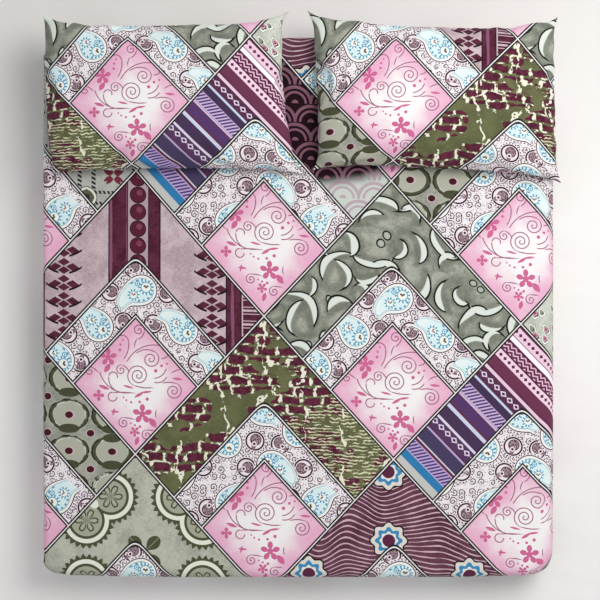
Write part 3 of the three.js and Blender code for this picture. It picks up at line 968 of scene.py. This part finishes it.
@printed
def pink_scrolls(place):
    """Drawn in millimetres from the middle of the pink diamond."""
    here = place.moved(0, -pink_edge * diamond_half_height)
    x, y = here.split()
    half_width, half_height = pink_edge * diamond_half_width, pink_edge * diamond_half_height
    reach = abs(x - 0.012) / half_width + abs(y) / half_height
    cloudy = place.noise(8, 3, 0.6) - 0.5
    paleness = (reach + cloudy * 0.7 + y * 0.6).ease(0.28, 1.02)
    grain = place.turned(0, 7, 1).noise(60, 2) * 0.25
    yield place.blend(paleness * 0.9 + grain - 0.06, "#f0efed", "#e2a8c4")
    here = here.turned(0, 1000, 1000)
    line = 4.2
    # Vines: x, y, radius, pitch, end, hand, tail, sweep
    strokes = any_of(vine(here, *row, line) for row in (
        (16, 35, 40, 16.5, 250, 1, 130, 30), (-48, 54, 18, 12.5, 75, -1, 35, 60),
        (63, 97, 31, 16.5, 60, 1, 60, 70), (149, -20, 30, 15, 70, 1, 75, 40),
        (-166, 46, 16, 12.5, 75, -1, 45, 40), (18, 203, 21, 13.5, -10, -1, 40, 55),
        (-38, -142, 18.5, 12, 95, -1, 90, 26), (49, -186, 18, 12.5, 100, -1, 60, 30),
    ))
    # Arcs: x, y, radius, middle, half turn
    strokes = strokes | any_of(arc(here, *row, line) for row in (
        (-30, 71, 102, 238, 43), (-78, 29, 16, 75, 95), (-42, 23, 53, 208, 33),
        (-80, -46, 16.5, 225, 135), (-40, -330, 301, 90, 8), (-44, 160, 22.5, 75, 75),
        (-105, 148, 85, -15, 23), (47, 142, 45, 161, 20), (79, 32, 118, 117, 36),
        (73, 76, 50, -51, 35), (87, 51, 41, -66, 38), (112, -106, 30, 180, 25),
        (106, 128, 27, -60, 35), (178, 10, 51, 112, 20),
    ))
    yield strokes, "#a06480"

    def bloom(x, y, size, count, turn):
        spot = here.moved(-x, -y)
        far = spot.length()
        petals = petals_round(spot, count, size, turn, 1.75) > 0
        return (petals & (far < size)) | (far < size * 0.3)

    blooms = any_of(bloom(*row) for row in (
        (-97, 100, 33, 5, 54), (32, -108, 37, 5, 54), (4, -174, 20, 5, 20), (-132, -42, 21, 4, 0),
    ))
    # Leaves: x, y, turn, half length, width
    leaves = any_of(lens(here, *row) for row in (
        (-100, 60, 58, 20, 10), (71, -139, -52, 22, 11.5), (-112, -12, -20, 22, 6.5),
        (-71, -101, -5, 17, 4.4), (-76, -102, 78, 15, 4.2), (-21, -8, -14, 22, 4),
        (19, -37, 30, 21, 5.6), (46, -26, 8, 23, 4.2), (164, 26, -6, 21, 4.6),
        (12, -208, 75, 18, 8.5), (-88, 151, -50, 11, 4.2),
    ))
    # Dots: x, y, size
    dots = any_of(size - here.moved(-x, -y).length() for x, y, size in (
        (82, 54, 6.6), (104, 73, 5.4), (124, 81, 4.2), (50, -52, 6.4), (22, -63, 5.2),
        (-10, -65, 4.4), (-28, -58, 3.8), (-39, -48, 3.2), (-53, 128, 5.2), (-51, 148, 4.4),
        (-42, 165, 3.6), (-11, -143, 3.6), (4, -150, 4.2), (23, -155, 5.4),
    ))
    yield blooms | ((leaves | dots) > 0), "#c96691"


def printed_cloth(name, patches, base):
    """The whole cloth of one piece: the lattice, its patches, their lines and the weave.

    patches rows are (column, row, side, pattern); a side of 0 is both flanks of the diamond, -1
    its left flank and 1 its right one."""
    roughness = 0.92
    material, line_shader = new_material(name, roughness)
    place = Dye(material.node_tree).node("UVMap", {"uv_map": "print"})
    x, y = place.split()
    across, up = x / diamond_half_width, y / diamond_half_height
    right, left = (across + up) / 2, (up - across) / 2
    column, row = right.floor(), left.floor()
    s, t = right - column, left - row
    widest = s | t
    rounded = (s**30 + t**30) ** (1 / 30)
    local = (x - (column - row) * diamond_half_width).join(y - (column + row) * diamond_half_height)
    local_x, local_y = local.split()
    odd = (column + row).odd()
    banded = place.switch(odd, (0.05 - local_x).join(local_y + 0.115), local)
    scrolled = place.switch(odd, local.moved(0.011, -0.024), local.moved(0.006, -0.001))
    cell = column + row * 10 + (s > t) * 0.5
    slubby = place.turned(0, 1, 14).noise(90, 2) + place.turned(0, 14, 1).noise(90, 2)
    weave = slubby.relief(0.35, 0.0006)
    shade = 0.93 + slubby * 0.07

    def dyed(group, place):
        colour = place.node("Group", {"node_tree": group}, {"Place": place})
        worn = colour.node("VectorMath", {"operation": "SCALE"}, {0: colour, "Scale": shade})
        finish = {"Roughness": roughness, "Sheen Weight": 0.04, "Specular IOR Level": 0.2}
        return worn.node("BsdfPrincipled", {}, finish | {"Base Color": worn, "Normal": weave})

    def laid_over(whole, mask, other):
        return whole.node("MixShader", {}, {0: mask, 1: whole, 2: other})

    whole = dyed(base, local)
    for group in dict.fromkeys(patch[3] for patch in patches):
        mask = any_of(
            cell.is_near(i + j * 10 + 0.25 + side * 0.25, 0.3 if side == 0 else 0.1)
            for i, j, side, pattern in patches
            if pattern == group
        )
        whole = laid_over(whole, mask, dyed(group, local))
    whole = laid_over(whole, rounded < paisley_edge, dyed(paisley_band, banded))
    whole = laid_over(whole, widest < pink_edge, dyed(pink_scrolls, scrolled))
    share_to_metres = 0.71
    to_line = abs(widest - pink_edge) & abs(rounded - paisley_edge) & (s & t) & (1 - widest)
    to_line = to_line * share_to_metres
    dress(line_shader, place.blend(to_line < 0.0019, "#0c080a", "#ece8e6"), weave)
    whole = laid_over(whole, to_line < 0.0076, Dye(place.tree, line_shader.outputs["BSDF"]))
    place.tree.links.new(whole.socket, place.tree.nodes["Material Output"].inputs["Surface"])
    return material


# The sheet's cloth in four quarters that meet where the lattice's lines cross: head left, head
# right, foot left and foot right. Each holds only the patterns that reach it.
sheet_quarters = [
    [(-1, 0, 0, mauve_columns), (0, 0, -1, ribbons), (-1, 1, 0, petal_crosses)],
    [(0, 0, 1, clamshells), (1, 0, 0, ripples), (1, -1, 0, rings_and_dots),
     (1, -2, 0, pods_on_a_vine), (2, -1, 0, pods_on_a_vine)],
    [(-1, 0, 0, mauve_columns), (-1, -1, 0, crackle), (-2, -1, 0, medallions),
     (-2, 0, 0, rings_and_dots), (-2, 1, 0, rings_and_dots)],
    [(-1, -1, 0, crackle), (-1, -2, 0, ripples), (0, -2, 0, ribbons), (1, -2, 0, pods_on_a_vine)],
]
for face in panel.faces:
    places = [loop[print_uv].uv for loop in face.loops]
    x, y = sum(places, Vector((0, 0))) / len(places)
    face.material_index = (x > 0) + 2 * (y < 0)
sheet_cloths = [
    printed_cloth("printed sheet cloth", patches, leaf_scrolls) for patches in sheet_quarters
]
sheet = new_piece("fitted_sheet_cloth", panel, *sheet_cloths)
thickness = sheet.modifiers.new("cloth thickness", "SOLIDIFY")
thickness.thickness = 0.0014
thickness.offset = -1
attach(sheet, "root")
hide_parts("fitted_sheet")

# ---- Pillows ----
# Two king pillows side by side at the head, each a soft filling in a case of the same cloth. A case
# is two panels sewn together, so it is let swell here from flat panels: the corners stay as pointed
# ears and the seams draw in and pucker. Its underside lies flat on the sheet.
case_width = 1.03
case_length = 0.69
case_columns = 104
case_rows = 70
pillow_rest = sheet_top + 0.0003
pillow_crown = 0.096
pillow_seam = 0.046
pillow_belly = 0.062
pillow_aspect = 1.6

# Each ear's tip: x, y, its height over the sheet, and how far it is drawn in. Seen from above, a
# diamond's middle lies at "middle", and the print runs on from it by x, y and x times y across, and
# by y, x and x squared along.
pillows = {
    "pillow_left": {
        "tips": [(-0.949, 0.487, 0.022, 0.026), (0.036, 0.492, 0.012, 0.0),
                 (-0.966, 1.106, 0.034, 0.006), (-0.026, 1.122, 0.036, 0.002)],
        "bow": {"foot": 0.032, "right": 0.062, "head": 0.058, "left": 0.012},
        "seed": 3.0,
        "middle": (-0.632, 0.536),
        "across": (1.01, 0.03, 0.085),
        "along": (1.05, -0.016, 0.1),
        "patches": [(0, 0, 0, crackle), (1, -1, 0, ribbons), (2, -1, 0, pods_on_a_vine),
                    (2, 0, 0, pods_on_a_vine)],
    },
    "pillow_right": {
        "tips": [(0.046, 0.512, 0.020, 0.006), (0.990, 0.466, 0.016, 0.0),
                 (0.024, 1.120, 0.036, 0.004), (0.975, 1.093, 0.034, 0.002)],
        "bow": {"foot": 0.034, "right": 0.026, "head": 0.057, "left": 0.034},
        "seed": 8.0,
        "middle": (0.356, 0.547),
        "across": (1.02, -0.024, 0.077),
        "along": (1.075, -0.028, 0.17),
        "patches": [(1, 0, 1, mauve_columns), (0, 0, 0, rings_and_dots), (1, -1, 0, crackle)],
    },
}
tip_places = [(0, 0), (1, 0), (0, 1), (1, 1)]
# The two ears that each side runs between, and 1 where the middle of the case lies to its left
case_sides = {"foot": (0, 1, 1), "head": (2, 3, -1), "left": (0, 2, -1), "right": (1, 3, 1)}


def put_in_order(mesh_maker):
    """Sorts the edges and faces by their points, so that the cloth swells alike in every run."""
    count = len(mesh_maker.verts)

    def order(item):
        total = 0
        for index in sorted(vert.index for vert in item.verts)[:3]:
            total = total * count + index
        return total

    mesh_maker.verts.index_update()
    for items in (mesh_maker.edges, mesh_maker.faces):
        items.sort(key=order)


def sewn_case(name, seed):
    """Two flat panels sewn round, with their shares of the cloth, and the start of a filling."""
    case = bmesh.new()
    bmesh.ops.create_grid(
        case, x_segments=case_columns, y_segments=case_rows, size=0.5, calc_uvs=False
    )
    share_layer = case.verts.layers.float_vector.new("share")
    for vert in case.verts:
        vert[share_layer] = vert.co + Vector((0.5, 0.5, 0))
        vert.co.x *= case_width
        vert.co.y *= case_length
    made = bmesh.ops.extrude_face_region(case, geom=case.faces[:])["geom"]
    upper = [item for item in made if isinstance(item, bmesh.types.BMVert)]
    for vert in upper:
        vert[share_layer] = (*vert[share_layer].xy, 1)
    bmesh.ops.translate(case, verts=upper, vec=(0, 0, 0.003))
    bmesh.ops.recalc_face_normals(case, faces=case.faces)
    print_uv = case.loops.layers.uv.new("print")
    for face in case.faces:
        for loop in face.loops:
            x, y = loop.vert.co.xy
            loop[print_uv].uv = (0.79 - x, y + 0.93)
    for vert in case.verts:
        x, y = vert.co.xy
        out = max(abs(x) / case_width, abs(y) / case_length) * 2
        loft = 0.03 * math.sqrt(max(1 - out**2, 0))
        above = 1 if vert.co.z > 0.001 else -1
        vert.co.z += above * loft + 0.0012 * noise.noise(Vector((x * 12, y * 12, seed)))
    put_in_order(case)
    mesh = bpy.data.meshes.new(name)
    case.to_mesh(mesh)
    case.free()
    return new_object(name, mesh)


def swell(piece, frames):
    """Fills the case: the cloth is blown out by an even pressure from inside."""
    cloth = piece.modifiers.new("filling", "CLOTH")
    settings = cloth.settings
    settings.quality = 5
    settings.mass = 0.3
    settings.tension_stiffness = settings.compression_stiffness = 60
    settings.shear_stiffness = 20
    settings.bending_stiffness = 10
    settings.tension_damping = settings.compression_damping = settings.shear_damping = 5
    settings.air_damping = 1
    settings.use_pressure = True
    settings.uniform_pressure_force = 5
    settings.effector_weights.gravity = 0
    cloth.collision_settings.use_collision = False
    cloth.point_cache.frame_start = 1
    cloth.point_cache.frame_end = frames
    for frame_number in range(1, frames + 1):
        scene.frame_set(frame_number)
    graph = bpy.context.evaluated_depsgraph_get()
    swollen = bpy.data.meshes.new_from_object(piece.evaluated_get(graph))
    piece.modifiers.clear()
    pressed = bmesh.new()
    pressed.from_mesh(swollen)
    every_way = {"use_axis_x": True, "use_axis_y": True, "use_axis_z": True}
    for _ in range(5):
        bmesh.ops.smooth_vert(pressed, verts=pressed.verts, factor=0.5, **every_way)
    pressed.to_mesh(swollen)
    pressed.free()
    piece.data = swollen


def case_side(start, end, depth, t):
    """A point along a side of the case, drawn in between its two ears."""
    dx, dy = end[0] - start[0], end[1] - start[1]
    far = math.hypot(dx, dy)
    offset = depth * (1 - abs(2 * t - 1) ** 6)
    return Vector((start[0] + dx * t - dy / far * offset, start[1] + dy * t + dx / far * offset))


def lay(piece, tips, bow):
    """Brings the filled case's ears and sides to where they lie, and its underside down flat."""
    mesh = piece.data
    shares = [tuple(row.vector.xy) for row in mesh.attributes["share"].data]
    rim = {}
    for vert, (u, v) in zip(mesh.vertices, shares):
        if min(u, v, 1 - u, 1 - v) < 0.001:
            rim.setdefault((round(u, 3), round(v, 3)), []).append(vert.co.copy())

    def seam_place(u, v):
        near = rim[(round(u, 3), round(v, 3))]
        return sum(near, Vector()) / len(near)

    def gap(side, t):
        """How far a side's seam is from where it should lie, a share t along it."""
        first, last, inward = case_sides[side]
        u, v = (mix(start, end, t) for start, end in zip(tip_places[first], tip_places[last]))
        return case_side(tips[first], tips[last], inward * bow[side], t) - seam_place(u, v).xy

    gaps = {side: [gap(side, t) for t in (0, 0.5, 1)] for side in case_sides}

    def pulled(side, t):
        first, middle, last = gaps[side]
        return first * (2 * t - 1) * (t - 1) + middle * 4 * t * (1 - t) + last * t * (2 * t - 1)

    seam_z = sum(seam_place(u, v).z for u, v in ((0.5, 0), (0.5, 1), (0, 0.5), (1, 0.5))) / 4
    highest = max(vert.co.z for vert in mesh.vertices) - seam_z
    lowest = seam_z - min(vert.co.z for vert in mesh.vertices)
    middle = Vector((sum(tip[0] for tip in tips) / 4, sum(tip[1] for tip in tips) / 4))
    for vert, (u, v) in zip(mesh.vertices, shares):
        shift = Vector((0, 0))
        sides = ("foot", u, v), ("head", u, 1 - v), ("left", v, u), ("right", v, 1 - u)
        for side, t, off in sides:
            pull = pulled(side, t)
            shift += pull * (1 - off) + (gap(side, t) - pull) * (1 - off) ** 12
        for (tip_u, tip_v), side in zip(tip_places, ("foot", "foot", "head", "head")):
            weight = (u if tip_u else 1 - u) * (v if tip_v else 1 - v)
            shift -= gaps[side][2 if tip_u else 0] * weight
        place = vert.co.xy + shift
        seam = pillow_seam
        for (tip_u, tip_v), tip in zip(tip_places, tips):
            far = math.hypot((u - tip_u) * pillow_aspect, v - tip_v)
            inward = middle - Vector(tip[:2])
            place += inward.normalized() * tip[3] * bump(far, 0.15)
            seam += (tip[2] - pillow_seam) * bump(far, 0.2)
        rise = vert.co.z - seam_z
        rise *= pillow_crown / highest if rise > 0 else pillow_belly / lowest
        height = pillow_rest + max(seam + rise, 0)
        vert.co = (bed_centre.x + place.x, bed_centre.y + place.y, height)


def print_over(piece, facts):
    """Gives the upper side its print: even as seen from above, and running on with what the cloth
    gains where it falls away steeply to the seams."""
    mesh = piece.data
    shares = [row.vector for row in mesh.attributes["share"].data]
    spots = [(round(share.x * case_columns), round(share.y * case_rows)) for share in shares]
    points = zip(spots, mesh.vertices, shares)
    upper = {spot: vert.co for spot, vert, share in points if share.z > 0.5}
    gain = {spot: Vector((0, 0)) for spot in upper}

    def run_out(line, way):
        total = 0
        for before, spot in zip(line, line[1:]):
            step = upper[spot] - upper[before]
            total += max(step.length - 1.1 * step.xy.length, 0)
            gain[spot] += Vector(way) * total

    across, along = case_columns // 2, case_rows // 2
    for j in range(case_rows + 1):
        run_out([(i, j) for i in range(across, case_columns + 1)], (1, 0))
        run_out([(i, j) for i in range(across, -1, -1)], (-1, 0))
    for i in range(case_columns + 1):
        run_out([(i, j) for j in range(along, case_rows + 1)], (0, 1))
        run_out([(i, j) for j in range(along, -1, -1)], (0, -1))
    uvs = mesh.uv_layers["print"].data
    diamond_middle = Vector((diamond_half_width, diamond_half_height))
    for face in mesh.polygons:
        if all(shares[index].z < 0.5 for index in face.vertices):
            continue
        for loop, index in zip(face.loop_indices, face.vertices):
            spot = spots[index]
            larger = 1 + (upper[spot].z - sheet_top) / camera_rise
            x, y = (upper[spot] - bed_centre).xy * larger - Vector(facts["middle"])
            u = Vector(facts["across"]).dot((x, y, x * y))
            v = Vector(facts["along"]).dot((y, x, x * x))
            uvs[loop].uv = diamond_middle + Vector((u, v)) + gain[spot]


for name, facts in pillows.items():
    pillow = sewn_case(name + "_case", facts["seed"])
    swell(pillow, 24)
    lay(pillow, facts["tips"], facts["bow"])
    print_over(pillow, facts)
    case_cloth = printed_cloth(name + " case cloth", facts["patches"], leaf_scrolls)
    pillow.data.materials.append(case_cloth)
    pillow.data.shade_smooth()
    smoother = pillow.modifiers.new("fine cloth", "SUBSURF")
    smoother.levels = smoother.render_levels = 1
    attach(pillow, "root")
    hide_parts(name)


boxes = {"cad": cad_box, "visual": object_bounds()}
{name: [list(corner) for corner in box] for name, box in boxes.items()}
